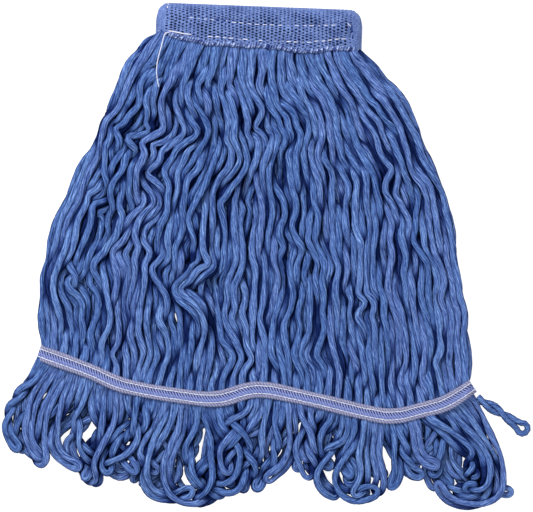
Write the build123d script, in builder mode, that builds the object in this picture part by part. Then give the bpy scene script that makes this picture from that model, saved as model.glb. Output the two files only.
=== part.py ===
from build123d import *
from math import pi, radians, tan
import os

# A looped-end string mop head, folded over its headband and laid flat on the floor. Millimetres.
# X runs along the headband, +Y points from the looped ends to the fold, +Z is up from the floor.
# The back half lies on the floor and the front half on top of it. Both are described by the height
# above the floor of the back half's layers: the front half is the same stack, upside down.

os.makedirs("parts", exist_ok=True)

HALVES = ("back", "front")
LOCKS = 8  # locks of yarn a half, about ten strands each
LOCK_GAP = 0.7  # between neighbouring locks
BODY_GAP = 0.3  # between pieces that move apart
EDGE_ROUNDING = 2.8  # of a lock's section

# Along Y
FOLD_FACE = 208.25  # outer face of the fold
CORE_END = 202.9  # where the yarn inside each band half stops and the fold's begins
PANEL_HINGE = 168.8  # just below the band's hem
TIPS_HINGE = -133.0  # just below the tail tape
LOWEST_TIP = -208.25

# The band
BAND_LEFT, BAND_RIGHT = -102.5, 63.3
BAND_THICKNESS = 30.0  # both halves
MESH_THICKNESS = 1.2
BAND_CORNER = 7.0  # the fold's ends are cut off by this much
FOLD_LEFT, FOLD_RIGHT = BAND_LEFT + BAND_CORNER, BAND_RIGHT - BAND_CORNER
HEM_WIDTH, HEM_THICKNESS = 4.0, 1.8
HEM_LINE = [(-102.5, 184.0), (-96.7, 182.6), (-65.5, 176.4), (-11.0, 175.2),
            (23.0, 172.0), (40.8, 175.8), (63.3, 175.5)]

# The tail tape
TAPE_WIDTH, TAPE_THICKNESS = 12.5, 0.9
TAPED_THICKNESS = 16.6  # both halves, over their tapes
INNER_TAPE_BASE = 7.1  # height of the back half's inner tape
TAPE_LINE = [(-191.7, -83.6), (-150.5, -96.8), (-117.3, -108.9), (-67.7, -115.7), (-40.3, -116.1),
             (-9.2, -107.5), (29.5, -112.6), (85.3, -123.7), (106.1, -124.7), (126.7, -119.2),
             (147.0, -112.3), (169.6, -96.9)]

# Thread
THREAD_WIDTH, THREAD_DEPTH = 0.8, 0.35  # of a row of stitches, sunk flush in the cloth
TAPE_ROW_OFFSET = 3.2  # of each row from the tape's middle
BAND_ROW = [(-77.0, 196.0), (-23.0, 192.2), (15.0, 192.8), (56.0, 196.6), (56.0, 184.0), (36.0, 181.4),
            (21.5, 179.0), (-65.7, 181.0), (-94.0, 187.0)]
BAND_ROW_CORNER = 1.6
FOLD_ROW_X = -93.5
LOOSE_THREAD = 0.7  # diameter
LOOSE_THREAD_LINE = [(-99.0, 168.3), (-101.3, 161.8), (-102.2, 154.4), (-101.6, 146.0), (-99.6, 138.3)]

# The half's yarn: (y, height of its outer face, its thickness, height of the plane between the halves)
LAYERS = [(FOLD_FACE, 1.9, 12.7, 15.0), (PANEL_HINGE, 1.9, 12.7, 15.0), (130, 0.3, 11.4, 12.1),
          (60, 0, 10.0, 10.4), (-10, 0, 9.2, 9.6), (-70, 0.4, 7.4, 8.2), (-76, 1.0, 6.0, 8.3),
          (TIPS_HINGE - 1, 1.0, 6.0, 8.3), (-148, 0, 8.4, 8.8), (LOWEST_TIP, 0, 8.4, 8.8)]

# Side outlines from the band down to the looped ends, as (x, y)
LEFT_SIDE = [(-112.0, 168.8), (-131.8, 138.6), (-143.0, 98.8), (-166.2, 61.1), (-180.3, 19.4),
             (-193.0, -20.0), (-192.0, -83.6), (-207.0, -133.0), (-218.35, -157.2), (-214.0, -180.0),
             (-205.0, -209.0)]
RIGHT_SIDE = [(68.0, 168.8), (81.7, 146.8), (99.8, 129.8), (121.3, 93.8), (145.5, 39.2),
              (159.9, -26.8), (169.6, -96.9), (178.0, -133.0), (196.0, -152.0), (206.0, -178.0),
              (203.0, -209.0)]
PANEL_STATIONS = [PANEL_HINGE - 0.2, 130, 96, 60, 20, -20, -70, -76, TIPS_HINGE + BODY_GAP]
TIP_STATIONS = [TIPS_HINGE - BODY_GAP, -148, -152, -157.2, -178]
FRONT_TIPS = [-182, -196, -206, LOWEST_TIP, -196, -203, -187, -200]
BACK_TIPS = [-186, -191, -203, -204, -191, -198, -194, -196]
TIP_ROUNDING = (9.0, 2.5)  # the last two sections' distances from a lock's end
TIP_WIDTHS = (0.86, 0.45)  # the share of the width left at the nearer one and at the end
TIP_THICKNESS = 0.7  # the share of the thickness left at the end

# The loop that has slipped out of the fringe
STRAY_START, STRAY_NECK, STRAY_EYE = (176.5, -111.5), (206.0, -128.2), (211.0, -131.5)
STRAY_WIDTH, STRAY_THICKNESS, STRAY_EYE_RADIUS, STRAY_HOLE_RADIUS = 8.5, 6.0, 7.0, 1.6


def along(points, y):
    """The values beside y in a table whose y falls, straight between its rows."""
    for upper, lower in zip(points, points[1:]):
        if y >= lower[0]:
            break
    share = (y - lower[0]) / (upper[0] - lower[0])
    return [low + (high - low) * share for high, low in zip(upper[1:], lower[1:])]


def side(points, y):
    """x of a side outline at y."""
    return along([(row_y, row_x) for row_x, row_y in points], y)[0]


def start_height(half, total, low, high):
    """Where a layer from low to high of the back half's stack starts on this half."""
    return low if half == "back" else total - high


def shifted(points, offset):
    """A line's points moved along Y."""
    return [(x, y + offset) for x, y in points]


def beside(points, distance):
    """Points at a distance to the left of a smooth line through the points, seen along it."""
    line = Spline(*points, mode=Mode.PRIVATE)
    steps = 4 * (len(points) - 1)
    moved = []
    for step in range(steps + 1):
        place = line @ (step / steps)
        heading = line % (step / steps)
        moved.append((place.X - heading.Y * distance, place.Y + heading.X * distance))
    return moved


def save(part, name):
    part.label = name
    export_step(part, f"parts/{name}.step")


def yarn_lock(half, index, stations, tip=None):
    """One lock of yarn as a ruled loft through rounded sections square to Y."""
    rows = [(y, 1.0, 1.0) for y in stations if tip is None or y > tip + TIP_ROUNDING[0]]
    if tip is not None:
        rows.append((tip + TIP_ROUNDING[0], 1.0, 1.0))
        rows.append((tip + TIP_ROUNDING[1], TIP_WIDTHS[0], 1.0))
        rows.append((tip, TIP_WIDTHS[1], TIP_THICKNESS))
    with BuildPart() as lock:
        for y, width_share, thickness_share in rows:
            left, right = side(LEFT_SIDE, y), side(RIGHT_SIDE, y)
            pitch = (right - left) / LOCKS
            outer, thickness, middle = along(LAYERS, y)
            height = start_height(half, 2 * middle, outer, outer + thickness) + thickness / 2
            centre = Vector(left + (index + 0.5) * pitch, y, height)
            tall = thickness * thickness_share
            with BuildSketch(Plane(centre, x_dir=(1, 0, 0), z_dir=(0, -1, 0))):
                rounding = min(EDGE_ROUNDING, 0.42 * tall)
                RectangleRounded(pitch * width_share - LOCK_GAP, tall, rounding)
        loft(ruled=True)
    return lock.part


def thread_row(points, corner, height):
    """A flush row of stitches: a narrow strip along straight runs with rounded corners."""
    with BuildPart() as row:
        with BuildSketch(Plane.XY.offset(height)):
            with BuildLine():
                FilletPolyline(*points, radius=corner)
            trace(line_width=THREAD_WIDTH)
        extrude(amount=THREAD_DEPTH)
    return row.part


def ribbon(upper, lower, height, thickness):
    """A flat strip between two smooth lines."""
    with BuildPart() as strip:
        with BuildSketch(Plane.XY.offset(height)):
            with BuildLine():
                top = Spline(*upper)
                bottom = Spline(*lower)
                Line(top @ 0, bottom @ 0)
                Line(top @ 1, bottom @ 1)
            make_face()
        extrude(amount=thickness)
    return strip.part


def tape_strip(offset, width, height, thickness):
    """A strip that runs beside the tape's line at an offset."""
    upper, lower = beside(TAPE_LINE, offset + width / 2), beside(TAPE_LINE, offset - width / 2)
    return ribbon(upper, lower, height, thickness)


# ---- Yarn: locks from the band to below the tape, and locks of looped ends
for half in HALVES:
    tips = BACK_TIPS if half == "back" else FRONT_TIPS
    for index in range(LOCKS):
        save(yarn_lock(half, index, PANEL_STATIONS), f"{half}_yarn_{index + 1:02d}")
        save(yarn_lock(half, index, TIP_STATIONS, tips[index]), f"{half}_loops_{index + 1:02d}")

# ---- The loop that sticks out of the back half's fringe, with its small eye
with BuildPart() as stray_loop:
    with BuildSketch(Plane.XY.offset(0.2)):
        with BuildLine():
            Line(STRAY_START, STRAY_NECK)
        trace(line_width=STRAY_WIDTH)
        with Locations(STRAY_EYE):
            Circle(STRAY_EYE_RADIUS)
            Circle(STRAY_HOLE_RADIUS, mode=Mode.SUBTRACT)
    extrude(amount=STRAY_THICKNESS)
save(stray_loop.part, "stray_loop")

# ---- The band's halves: mesh with its row of stitches, hem, and the yarn that runs through
for half in HALVES:
    mesh_base = start_height(half, BAND_THICKNESS, 0, MESH_THICKNESS)
    row_base = start_height(half, BAND_THICKNESS, 0, THREAD_DEPTH)
    hem_base = start_height(half, BAND_THICKNESS, 0, HEM_THICKNESS)
    stitching = thread_row(BAND_ROW, BAND_ROW_CORNER, row_base)
    save(stitching, f"headband_stitching_{half}")

    mesh_end = FOLD_FACE - MESH_THICKNESS - BODY_GAP
    with BuildPart() as mesh:
        with BuildSketch(Plane.XY.offset(mesh_base)):
            with BuildLine():
                hem_edge = Spline(*shifted(HEM_LINE, HEM_WIDTH / 2))
                Polyline(hem_edge @ 0, (BAND_LEFT, mesh_end - BAND_CORNER), (FOLD_LEFT, mesh_end),
                         (FOLD_RIGHT, mesh_end), (BAND_RIGHT, mesh_end - BAND_CORNER), hem_edge @ 1)
            make_face()
        extrude(amount=MESH_THICKNESS)
        add(stitching, mode=Mode.SUBTRACT)
    save(mesh.part, f"headband_mesh_{half}")

    hem_top, hem_bottom = shifted(HEM_LINE, HEM_WIDTH / 2), shifted(HEM_LINE, -HEM_WIDTH / 2)
    save(ribbon(hem_top, hem_bottom, hem_base, HEM_THICKNESS), f"headband_hem_{half}")

    outer, thickness, middle = along(LAYERS, FOLD_FACE)
    with BuildPart() as core:
        with BuildSketch(Plane.XY.offset(start_height(half, BAND_THICKNESS, outer, outer + thickness))):
            with BuildLine():
                Polyline((BAND_LEFT + 3, CORE_END), (BAND_RIGHT - 3, CORE_END), (BAND_RIGHT - 1, 178),
                         (RIGHT_SIDE[0][0], PANEL_HINGE + 0.2), (LEFT_SIDE[0][0], PANEL_HINGE + 0.2),
                         (BAND_LEFT + 1, 184), close=True)
            make_face()
        extrude(amount=thickness)
    save(core.part, f"headband_yarn_{half}")

# ---- The fold: a strip of mesh on edge, the yarn behind it, and a row of stitches over it
fold_plane = Plane((0, FOLD_FACE, 0), x_dir=(1, 0, 0), z_dir=(0, -1, 0))
fold_middle = ((FOLD_LEFT + FOLD_RIGHT) / 2, BAND_THICKNESS / 2)
fold_core_face = FOLD_FACE - MESH_THICKNESS - 0.1
with BuildPart() as fold_stitching:
    with BuildSketch(fold_plane):
        with Locations((FOLD_ROW_X, BAND_THICKNESS / 2)):
            Rectangle(THREAD_WIDTH, BAND_THICKNESS - 8)
    extrude(amount=THREAD_DEPTH)
save(fold_stitching.part, "headband_stitching_fold")

with BuildPart() as fold_mesh:
    with BuildSketch(fold_plane):
        with Locations(fold_middle):
            Rectangle(FOLD_RIGHT - FOLD_LEFT, BAND_THICKNESS - 2 * BODY_GAP)
    extrude(amount=MESH_THICKNESS)
    add(fold_stitching.part, mode=Mode.SUBTRACT)
save(fold_mesh.part, "headband_mesh_fold")

with BuildPart() as fold_yarn:
    with BuildSketch(Plane.XZ.offset(-fold_core_face)):
        with Locations(fold_middle):
            Rectangle(BAND_RIGHT - BAND_LEFT - 8, BAND_THICKNESS - 2 * (MESH_THICKNESS + BODY_GAP))
    extrude(amount=fold_core_face - CORE_END - BODY_GAP)
save(fold_yarn.part, "headband_yarn_fold")

# ---- Tail tapes: an outer and an inner tape on each half, two rows of stitches along each
for half in HALVES:
    for layer, low, row_low in (("outer", 0, 0),
                                ("inner", INNER_TAPE_BASE, INNER_TAPE_BASE + TAPE_THICKNESS - THREAD_DEPTH)):
        base = start_height(half, TAPED_THICKNESS, low, low + TAPE_THICKNESS)
        row_base = start_height(half, TAPED_THICKNESS, row_low, row_low + THREAD_DEPTH)
        rows = [tape_strip(offset, THREAD_WIDTH, row_base, THREAD_DEPTH)
                for offset in (TAPE_ROW_OFFSET, -TAPE_ROW_OFFSET)]
        with BuildPart() as tape_rows:
            add(rows)
        save(tape_rows.part, f"tape_stitching_{half}_{layer}")

        with BuildPart() as tape:
            add(tape_strip(0, TAPE_WIDTH, base, TAPE_THICKNESS))
            add(rows, mode=Mode.SUBTRACT)
        save(tape.part, f"tail_tape_{half}_{layer}")

# ---- The loose end of the stitching thread, lying on the front half's yarn
thread_points = []
for x, y in LOOSE_THREAD_LINE:
    outer, thickness, middle = along(LAYERS, y)
    thread_points.append(Vector(x, y, 2 * middle - outer + 0.7 * LOOSE_THREAD))
runs = [after - before for before, after in zip(thread_points, thread_points[1:])]
turns = [before.get_angle(after) for before, after in zip(runs, runs[1:])]
radii = [0.45 * min(before.length, after.length) / tan(radians(turn / 2))
         for before, after, turn in zip(runs, runs[1:], turns)]
print("loose thread radii:", [round(radius, 1) for radius in radii])
with BuildPart() as loose_thread:
    with BuildLine() as thread_line:
        FilletPolyline(*thread_points, radius=radii)
    with BuildSketch(Plane(thread_points[0], z_dir=runs[0])):
        Circle(LOOSE_THREAD / 2)
    sweep()
thread_length = sum(edge.length for edge in thread_line.edges())
thread_section = pi * LOOSE_THREAD ** 2 / 4
print("loose thread length:", round(thread_length, 2))
print("loose thread volume ratio:", round(loose_thread.part.volume / (thread_section * thread_length), 4))
save(loose_thread.part, "loose_thread")
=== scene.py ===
import math

import bmesh
import bpy
import mathutils
import numpy as np
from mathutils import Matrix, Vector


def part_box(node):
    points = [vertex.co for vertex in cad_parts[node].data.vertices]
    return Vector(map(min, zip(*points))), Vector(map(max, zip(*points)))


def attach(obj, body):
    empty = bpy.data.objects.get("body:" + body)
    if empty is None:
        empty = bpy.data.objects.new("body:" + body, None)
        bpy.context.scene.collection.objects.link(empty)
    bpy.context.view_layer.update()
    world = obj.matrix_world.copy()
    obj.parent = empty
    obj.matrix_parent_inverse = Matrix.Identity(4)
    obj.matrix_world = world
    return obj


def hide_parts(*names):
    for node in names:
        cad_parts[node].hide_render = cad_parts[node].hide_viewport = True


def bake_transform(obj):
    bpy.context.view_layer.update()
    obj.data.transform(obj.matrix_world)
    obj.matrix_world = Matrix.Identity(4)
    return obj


# The looks of a looped-end string mop head: single twisted strands that are packed by a small simulation,
# a knitted mesh band with a rolled hem, woven tapes and white stitches. Shapes are worked out in
# millimetres, in the CAD frame.

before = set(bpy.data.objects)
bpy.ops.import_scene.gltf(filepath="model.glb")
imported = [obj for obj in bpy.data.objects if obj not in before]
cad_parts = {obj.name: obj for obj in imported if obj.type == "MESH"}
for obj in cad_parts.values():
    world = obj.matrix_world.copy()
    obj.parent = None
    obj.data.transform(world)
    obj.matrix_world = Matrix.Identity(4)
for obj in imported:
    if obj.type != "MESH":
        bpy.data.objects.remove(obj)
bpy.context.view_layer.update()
MM = 0.001
rng = np.random.default_rng(11)


def node_box(name):
    """A CAD node's lowest and highest corner, in millimetres."""
    low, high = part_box(name)
    return np.array(low) / MM, np.array(high) / MM


# ---- Driving dimensions

BAND_LOW, BAND_HIGH = node_box("headband_mesh_front")
BAND_LEFT, BAND_RIGHT = BAND_LOW[0], BAND_HIGH[0]
BAND_TOP = BAND_HIGH[2]  # height of the folded band
BAND_MIDDLE = BAND_TOP / 2
FOLD_FACE = node_box("headband_mesh_fold")[1][1]
PANEL_HINGE = node_box("front_yarn_01")[1][1]
TAPED_TOP = node_box("tail_tape_front_outer")[1][2]  # height over both tapes

STRANDS = 80  # a half
PAIRS = STRANDS // 2  # two strands make a looped end
LOCKS = 8  # a half: the CAD's bundles of strands
YARN_RADIUS = 3.0
YARN_SPACING = 5.5  # how close two strands' middles may come
COVER_REACH = 6.2  # a strand this near above another one hides it and casts painted shade on it
FRINGE_THINNING = 0.07  # the looped ends are slimmer than the strands above the tape
LINK = 3.4  # length of a chain's link
PLIES = 7
PLY_PITCH = 105.0  # length of one full turn of twist
RING_VERTS = 28
RING_STEP = 3.0
HALVES = ("back", "front")
OUTWARD = {"back": -1, "front": 1}  # which way along z a half's outer face looks

# Lines seen from above, as x, y
HEM_LINE = np.array([(-102.5, 184.0), (-96.7, 182.6), (-65.5, 176.4), (-11.0, 175.2),
                     (23.0, 172.0), (40.8, 175.8), (63.3, 175.5)])
TAPE_LINE = np.array([(-191.7, -83.6), (-150.5, -96.8), (-117.3, -108.9), (-67.7, -115.7), (-40.3, -116.1),
                      (-9.2, -107.5), (29.5, -112.6), (85.3, -123.7), (106.1, -124.7), (126.7, -119.2),
                      (147.0, -112.3), (169.6, -96.9)])
TAPE_WIDTH = 12.5
LEFT_SIDE = np.array([(-97.0, 203.0), (-99.5, 184.0), (-110.0, 168.8), (-129.0, 138.6), (-140.0, 98.8),
                      (-163.0, 61.1), (-177.0, 19.4), (-189.5, -20.0), (-188.0, -83.6), (-203.0, -133.0)])
RIGHT_SIDE = np.array([(58.0, 203.0), (60.0, 180.0), (66.0, 168.8), (79.0, 146.8), (97.0, 129.8),
                       (118.0, 93.8), (142.0, 39.2), (156.5, -26.8), (166.0, -96.9), (175.0, -133.0)])
FRINGE_END = np.array([(-216.0, -157.0), (-204.0, -176.0), (-162.0, -186.0), (-130.0, -197.0),
                       (-87.0, -199.0), (-64.0, -207.5), (-50.0, -206.0), (-17.0, -188.0), (-4.0, -197.0),
                       (13.0, -197.0), (32.0, -185.0), (67.0, -192.0), (79.0, -203.0), (99.0, -193.0),
                       (134.0, -172.0), (150.0, -195.0), (171.0, -200.0), (189.0, -195.0), (205.0, -172.0)])

# The plane between the halves: its height at y
MIDDLE_HEIGHT = np.array([(208.0, 15.0), (168.8, 15.0), (130.0, 12.1), (60.0, 10.4), (-10.0, 9.6),
                          (-70.0, 8.3), (-134.0, 8.3), (-150.0, 8.8), (-208.0, 8.8)])


def at(table, value, key=0, result=1):
    """Reads one column of a table against another, straight between rows."""
    order = np.argsort(table[:, key])
    return np.interp(value, table[order, key], table[order, result])


def side_x(share, y):
    """x at a share from the left side to the right side, at y."""
    left, right = at(LEFT_SIDE, y, 1, 0), at(RIGHT_SIDE, y, 1, 0)
    return left + (right - left) * share


def smooth(value, low, high):
    """0 up to low, 1 from high on, and smooth between."""
    t = np.clip((np.asarray(value, float) - low) / (high - low), 0, 1)
    return t * t * (3 - 2 * t)


def catmull(points, places):
    """Points on a smooth curve through the given ones; places counts them from 0."""
    points = np.asarray(points, float)
    last = len(points) - 1
    i = np.clip(np.floor(places).astype(int), 0, last - 1)
    t = (places - i)[:, None]
    p0, p1 = points[np.maximum(i - 1, 0)], points[i]
    p2, p3 = points[i + 1], points[np.minimum(i + 2, last)]
    return 0.5 * (2 * p1 + (p2 - p0) * t + (2 * p0 - 5 * p1 + 4 * p2 - p3) * t ** 2
                  + (3 * p1 - p0 - 3 * p2 + p3) * t ** 3)


def travel_along(points):
    """How far along a line each of its points is."""
    return np.concatenate([[0], np.cumsum(np.linalg.norm(np.diff(points, axis=0), axis=1))])


def read_off(wanted, travel, points):
    """The points of a line that are the wanted distances along it."""
    return np.stack([np.interp(wanted, travel, column) for column in points.T], axis=1)


def directions(points):
    """A line's unit direction at each of its points."""
    tangent = np.gradient(points, axis=0)
    return tangent / np.linalg.norm(tangent, axis=1)[:, None]


def resampled(points, step):
    """The same curve with points at even steps."""
    dense = catmull(points, np.linspace(0, len(points) - 1, 6 * len(points)))
    travel = travel_along(dense)
    count = max(int(round(travel[-1] / step)), 3)
    return read_off(np.linspace(0, travel[-1], count + 1), travel, dense)


class Ripple:
    """A smooth random field over the floor, about -1 to 1, with a typical length across and along."""

    def __init__(self, across, along, terms=14):
        angle = rng.uniform(0, 2 * np.pi, terms)
        size = rng.uniform(0.6, 1.35, terms)
        self.kx = 2 * np.pi / across * np.cos(angle) * size
        self.ky = 2 * np.pi / along * np.sin(angle) * size
        self.phase = rng.uniform(0, 2 * np.pi, terms)
        self.scale = math.sqrt(2.0 / terms)

    def __call__(self, x, y):
        x, y = np.asarray(x, float), np.asarray(y, float)
        waves = np.sin(self.kx * x[..., None] + self.ky * y[..., None] + self.phase)
        return waves.sum(-1) * self.scale


def tape_curve(count):
    """The tape's middle line as a smooth curve of that many points."""
    return catmull(TAPE_LINE, np.linspace(0, len(TAPE_LINE) - 1, count))


tape_dense = tape_curve(400)
TAPE_LEFT, TAPE_RIGHT = TAPE_LINE[0, 0], TAPE_LINE[-1, 0]


def tape_y(x):
    return np.interp(x, tape_dense[:, 0], tape_dense[:, 1])


def hem_y(x):
    return np.interp(x, HEM_LINE[:, 0], HEM_LINE[:, 1])


def band_edge(x):
    """How far inside the nearer end of the band x is."""
    return np.minimum(x - BAND_LEFT, BAND_RIGHT - x)


def band_taper(x):
    """Share of the band's thickness left at x: its ends are round."""
    t = np.clip(band_edge(x) / 13.0, 0.0, 1.0)
    return np.sqrt(np.clip(1 - (1 - t) ** 2, 0.0, 1.0)) * 0.95 + 0.05


# ---- Camera and the loose thread

camera_data = bpy.data.cameras.new("camera")
camera_data.lens = 250
camera = bpy.data.objects.new("camera", camera_data)
camera.location = (-0.006, 0.0028, 3.068)
camera.rotation_euler = (0, 0, math.radians(2.2))
bpy.context.scene.collection.objects.link(camera)
bpy.context.scene.camera = camera


def thread_path():
    """The loose end of the sewing thread, from the hem down over the yarn."""
    shown = [(-92.6, 183.0, 30.3), (-95.2, 183.4, 30.6), (-97.0, 180.5, 30.4), (-98.2, 174.0, 30.0),
             (-101.0, 163.0, 29.2), (-102.3, 154.0, 27.6), (-101.8, 146.0, 26.2), (-99.8, 138.4, 24.8)]
    return np.array(shown)


def smooth_curve(name, points, thickness, material):
    """A round cord along a smooth line."""
    data = bpy.data.curves.new(name, "CURVE")
    data.dimensions = "3D"
    data.bevel_depth = thickness / 2 * MM
    data.bevel_resolution = 4
    data.use_fill_caps = True
    spline = data.splines.new("NURBS")
    spline.points.add(len(points) - 1)
    for point, place in zip(spline.points, points):
        point.co = (*(np.asarray(place) * MM), 1)
    spline.order_u = 3
    spline.use_endpoint_u = True
    data.materials.append(material)
    return link_object(name, data)


# ---- Meshes

def stand_for(made, slot, nodes, *bodies):
    """Hides the CAD nodes that a piece replaces and hangs the piece on the body that it rides; a piece given
    two bodies only has its placing applied to its points. slot, its material, is not used.
    """
    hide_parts(*nodes)
    if len(bodies) == 1:
        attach(made, *bodies)
    else:
        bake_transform(made)


def link_object(name, data):
    made = bpy.data.objects.new(name, data)
    bpy.context.scene.collection.objects.link(made)
    return made


def build_mesh(name, verts, quads, triangles, attributes, material):
    """A mesh object from millimetre points, with named values per point."""
    quads = np.asarray(quads, np.int32).reshape(-1, 4)
    triangles = np.asarray(triangles, np.int32).reshape(-1, 3)
    mesh = bpy.data.meshes.new(name)
    mesh.vertices.add(len(verts))
    verts = np.array(verts, np.float32)
    verts[:, 2] = np.maximum(verts[:, 2], 0.05)  # nothing sinks into the floor
    mesh.vertices.foreach_set("co", (verts * MM).ravel())
    mesh.loops.add(quads.size + triangles.size)
    mesh.loops.foreach_set("vertex_index", np.concatenate([quads.ravel(), triangles.ravel()]))
    mesh.polygons.add(len(quads) + len(triangles))
    starts = np.concatenate([np.arange(len(quads)) * 4, quads.size + np.arange(len(triangles)) * 3])
    mesh.polygons.foreach_set("loop_start", starts.astype(np.int32))
    mesh.update(calc_edges=True)
    mesh.validate()
    mesh.polygons.foreach_set("use_smooth", np.ones(len(mesh.polygons), bool))
    for key, values in attributes.items():
        layer = mesh.attributes.new(key, "FLOAT", "POINT")
        layer.data.foreach_set("value", np.asarray(values, np.float32))
    mesh.materials.append(material)
    return link_object(name, mesh)


def transported_frames(points):
    """Tangent, side and up at each point of a path, turned as little as possible."""
    tangent = directions(points)
    side = np.cross(tangent[0], (0, 0, 1.0))
    if np.linalg.norm(side) < 0.1:
        side = np.array((1.0, 0, 0))
    sides = np.empty_like(points)
    for i, heading in enumerate(tangent):
        side = side - heading * (side @ heading)
        side /= np.linalg.norm(side)
        sides[i] = side
    return tangent, sides, np.cross(sides, tangent)


def tube(path, radius, verts=RING_VERTS, plies=PLIES, depth=0.07, pitch=PLY_PITCH, phase=0.0, flat=None,
         uneven=0.0, cover=None, outward=1):
    """Rings of points round a path, with the values that its material reads. radius and flat may vary along
    it: flat squeezes the rings towards the floor's plane, and uneven makes them oval and lumpy."""
    tangent, side, up = transported_frames(path)
    travel = travel_along(path)
    around = np.arange(verts) / verts
    turn = 2 * np.pi * (around[None, :] + (travel / pitch + phase)[:, None])
    ridge = np.abs(np.cos(np.pi * plies * around))
    radius = np.broadcast_to(radius, len(path))[:, None] * (1 - depth * (1 - ridge))[None, :]
    if uneven:
        lumps = 0.6 * np.cos(4 * np.pi * around[None, :] + phase * 9)
        lumps = lumps + 0.5 * np.sin(2 * np.pi * (3 * around[None, :] + travel[:, None] / 31 + phase * 7))
        lumps = lumps + 0.35 * np.sin(2 * np.pi * (5 * around[None, :] - travel[:, None] / 17 + phase * 3))
        radius = radius * (1 + uneven * lumps)
    offset = (np.cos(turn) * radius)[..., None] * side[:, None]
    offset = offset + (np.sin(turn) * radius)[..., None] * up[:, None]
    normal = offset
    if flat is not None:
        flat = np.broadcast_to(flat, len(path))[:, None, None]
        rise = np.array((0, 0, 1.0)) - tangent * tangent[:, 2:3]
        rise /= np.maximum(np.linalg.norm(rise, axis=1), 0.2)[:, None]
        along_rise = (offset * rise[:, None]).sum(-1, keepdims=True) * rise[:, None]
        wide = offset - along_rise
        offset = wide / np.sqrt(flat) + along_rise * flat
        normal = wide * np.sqrt(flat) + along_rise / flat
    ring = path[:, None] + offset
    upward = normal[..., 2] / np.maximum(np.linalg.norm(normal, axis=-1), 1e-6)
    # the cover value becomes painted shade, on the side that faces out of the half only
    cover_shade = np.zeros(len(path)) if cover is None else cover
    cover_shade = cover_shade[:, None] * smooth(upward * outward, -0.5, 0.2)
    rings, count = len(path), len(path) * verts
    j, following = np.arange(verts), (np.arange(verts) + 1) % verts
    base = np.arange(rings - 1)[:, None] * verts
    a, b = (base + j).ravel(), (base + following).ravel()
    quads = np.stack([a, b, b + verts, a + verts], axis=1)
    points = np.concatenate([ring.reshape(-1, 3), path[:1], path[-1:]])
    start = np.stack([np.full(verts, count), following, j], axis=1)
    end = np.stack([np.full(verts, count + 1), count - verts + j, count - verts + following], axis=1)
    angle = np.tile(2 * np.pi * around, rings)
    # facing and the cover value are read only by the yarn material, which paints shade where facing is low
    # and where the cover value is high
    values = {"ring_x": (np.cos(angle), (0, 0)), "ring_y": (np.sin(angle), (0, 0)),
              "along": (np.repeat(travel, verts), (0, travel[-1])), "ply": (np.tile(ridge, rings), (1, 1)),
              "facing": (np.abs(upward).ravel(), (0, 0)), "cover_shade": (cover_shade.ravel(), (0, 0))}
    values = {key: np.append(on_rings, at_ends) for key, (on_rings, at_ends) in values.items()}
    return points, quads, np.concatenate([start, end]), values


def plain_tube(path, radius, verts):
    """A tube with no twist to be seen."""
    return tube(path, radius, verts=verts, plies=1, depth=0.0)


def tubes_object(name, tubes, values, material):
    """Joins tubes into one mesh. values gives each tube's own random number."""
    counts = [len(made[0]) for made in tubes]
    bases = np.concatenate([[0], np.cumsum(counts)[:-1]])
    joined = {key: np.concatenate([made[3][key] for made in tubes]) for key in tubes[0][3]}
    joined["own"] = np.repeat(np.asarray(values, float), counts)
    points = np.concatenate([made[0] for made in tubes])
    quads, triangles = (np.concatenate([made[k] + base for made, base in zip(tubes, bases)]) for k in (1, 2))
    return build_mesh(name, points, quads, triangles, joined, material)


# ---- Materials

def new_material(name, roughness, gloss=0.15):
    material = bpy.data.materials.new(name)
    material.use_nodes = True
    tree = material.node_tree
    shader = tree.nodes["Principled BSDF"]
    fill(tree, [shader.inputs[key] for key in ("Roughness", "Specular IOR Level")], roughness, gloss)
    return material, tree, shader


def node(tree, kind, **settings):
    made = tree.nodes.new(kind)
    for key, value in settings.items():
        setattr(made, key, value)
    return made


def paint(tree, shader, colour):
    tree.links.new(colour, shader.inputs["Base Color"])


def object_noise(tree, scale, detail, roughness):
    """A noise fixed to the piece, in cycles per metre."""
    return noise(tree, node(tree, "ShaderNodeTexCoord").outputs["Object"], scale, detail, roughness)


def read(tree, name):
    """A mesh's named value."""
    return node(tree, "ShaderNodeAttribute", attribute_name=name).outputs["Fac"]


def fill(tree, sockets, *values):
    """Sets each socket to its number or colour, or links it to another node's output."""
    for socket, value in zip(sockets, values):
        if isinstance(value, (int, float)):
            socket.default_value = value
        elif isinstance(value, tuple):
            socket.default_value = (*value, 1)
        else:
            tree.links.new(value, socket)


def maths(tree, operation, first, second=0.0, third=0.0):
    made = node(tree, "ShaderNodeMath", operation=operation)
    fill(tree, made.inputs, first, second, third)
    return made.outputs[0]


def vector(tree, x, y, z):
    made = node(tree, "ShaderNodeCombineXYZ")
    fill(tree, made.inputs, x, y, z)
    return made.outputs[0]


def noise(tree, place, scale, detail, roughness):
    made = node(tree, "ShaderNodeTexNoise")
    sockets = [made.inputs[key] for key in ("Vector", "Scale", "Detail", "Roughness")]
    fill(tree, sockets, place, scale, detail, roughness)
    return made.outputs["Fac"]


def ramp(tree, value, stops):
    made = node(tree, "ShaderNodeValToRGB")
    elements = made.color_ramp.elements
    elements.remove(elements[1])
    elements[0].position = stops[0][0]
    elements[0].color = (*stops[0][1], 1)
    for place, colour in stops[1:]:
        elements.new(place).color = (*colour, 1)
    tree.links.new(value, made.inputs[0])
    return made.outputs[0]


def mixed(tree, kind, share, first, second):
    made = node(tree, "ShaderNodeMix", data_type="RGBA", blend_type=kind)
    fill(tree, [made.inputs[k] for k in (0, 6, 7)], share, first, second)
    return made.outputs[2]


def times(tree, colour, *others):
    """Colours multiplied together."""
    for other in others:
        colour = mixed(tree, "MULTIPLY", 1.0, colour, other)
    return colour


def spread(tree, value, low, high):
    """Shades from a noise: low where it is under 0.3, high where it is over 0.7."""
    return ramp(tree, value, [(0.3, low), (0.7, high)])


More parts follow.
